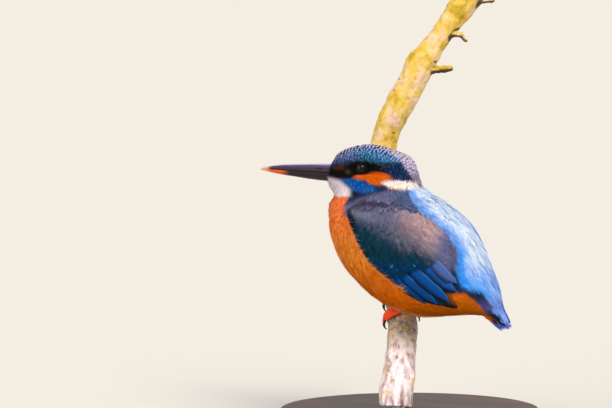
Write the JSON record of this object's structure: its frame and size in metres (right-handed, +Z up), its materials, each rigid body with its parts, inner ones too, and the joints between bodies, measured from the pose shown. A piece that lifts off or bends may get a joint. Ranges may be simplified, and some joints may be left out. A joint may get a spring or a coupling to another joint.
{
  "type": "common kingfisher on a perch",
  "caption": "Life-size common kingfisher with its head turned, gripping a crooked upright branch that stands on a round display base.",
  "frame": {"origin": "centre of the base's underside", "axes": "+Z up; the bird's trunk faces -X with its left side towards -Y, and its head is turned to its left"},
  "size_m": [0.1264, 0.1245, 0.2082],
  "materials": {
    "plumage_blue": "glossy barred feathers",
    "plumage_orange": "soft loose feathers",
    "plumage_dusk": "soft feathers with a mauve sheen",
    "bill": "satin horn",
    "eye": "wet gloss",
    "toe_skin": "scaly skin",
    "claw": "satin horn",
    "bark": "mottled bark",
    "rod": "brushed",
    "base_wood": "oiled dark wood"
  },
  "bodies": {
    "root": {"head": "plumage_blue", "neck": "plumage_orange", "trunk": "plumage_orange", "tail": "plumage_blue", "bill_upper": "bill", "bill_lower": "bill", "eye_left": "eye", "eye_right": "eye", "wing_left_scapulars": "plumage_dusk", "wing_left_coverts": "plumage_blue", "wing_left_flight": "plumage_blue", "leg_left": "toe_skin", "foot_left": "toe_skin", "claw_left_inner": "claw", "claw_left_middle": "claw", "claw_left_outer": "claw", "claw_left_hind": "claw", "wing_right_scapulars": "plumage_dusk", "wing_right_coverts": "plumage_blue", "wing_right_flight": "plumage_blue", "leg_right": "toe_skin", "foot_right": "toe_skin", "claw_right_inner": "claw", "claw_right_middle": "claw", "claw_right_outer": "claw", "claw_right_hind": "claw", "perch": "bark", "stand_base": "base_wood", "stand_rod_front": "rod", "stand_rod_rear": "rod"}
  },
  "joints": []
}
